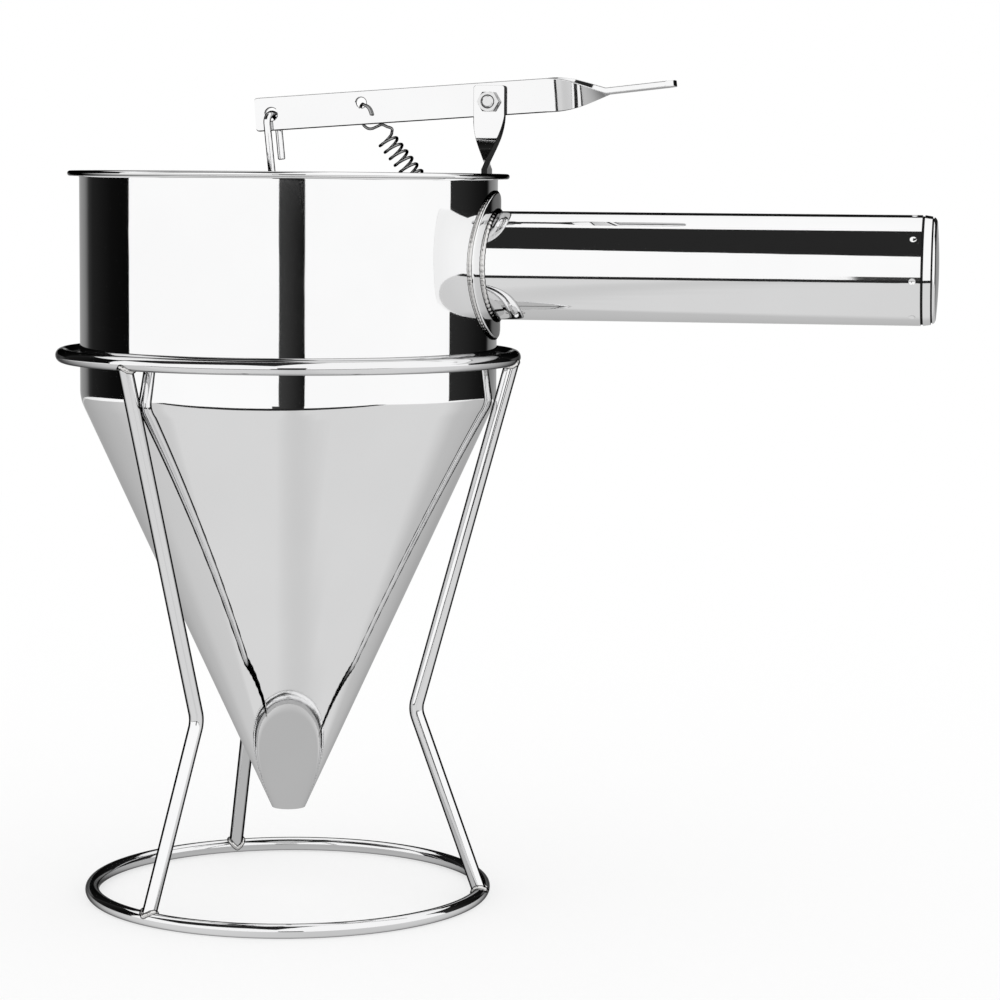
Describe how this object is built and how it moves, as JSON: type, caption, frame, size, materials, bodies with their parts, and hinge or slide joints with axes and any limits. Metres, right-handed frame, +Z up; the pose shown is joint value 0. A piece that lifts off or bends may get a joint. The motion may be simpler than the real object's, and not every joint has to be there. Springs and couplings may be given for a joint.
{
  "type": "piston funnel",
  "caption": "Hand-held batter funnel with a thumb lever that lifts a stopper out of its outlet, resting in a three-legged wire stand.",
  "frame": {"origin": "on the surface that the stand rests on, under the middle of the object's whole length and width", "axes": "+X from the funnel towards the end of its handle, +Y to the far side of the lever from the nut, +Z up along the funnel"},
  "size_m": [0.299, 0.1586, 0.2815],
  "materials": {
    "polished_sheet": "stainless steel sheet, mirror polished",
    "polished_strip": "stainless steel strip, polished",
    "turned_steel": "stainless steel, turned",
    "bright_wire": "stainless steel wire, bright drawn",
    "spring_steel": "stainless spring wire"
  },
  "bodies": {
    "stand": {"top_ring": "bright_wire", "base_ring": "bright_wire", "leg_handle_side": "bright_wire", "leg_back": "bright_wire", "leg_front": "bright_wire"},
    "funnel": {"funnel_body": "polished_sheet", "handle_flange": "polished_sheet", "handle_tube": "polished_sheet", "handle_end_cap": "polished_sheet", "lever_bracket": "polished_strip", "pivot_bolt": "turned_steel", "pivot_nut": "turned_steel", "return_spring": "spring_steel"},
    "lever": {"lever": "polished_strip"},
    "rod": {"lift_rod": "bright_wire", "stopper": "turned_steel"}
  },
  "joints": [
    {"name": "funnel_lift", "type": "slide", "parent": "stand", "child": "funnel", "axis": [0, 0, 1], "range_m": [0, 0.17]},
    {"name": "lever_press", "type": "hinge", "parent": "funnel", "child": "lever", "pos_m": [-0.00086, 0, 0.2732], "axis": [0, 1, 0], "range_deg": [0, 38], "stiffness_Nm_per_rad": 0.38, "springref_deg": -38.96, "deforming": ["return_spring"]},
    {"name": "rod_swing", "type": "hinge", "parent": "lever", "child": "rod", "pos_m": [-0.07634, 0, 0.26882], "axis": [0, 1, 0], "range_deg": [-38, 0]}
  ],
  "couplings": [
    {"joint": "rod_swing", "follows": "lever_press", "ratio": -1}
  ]
}
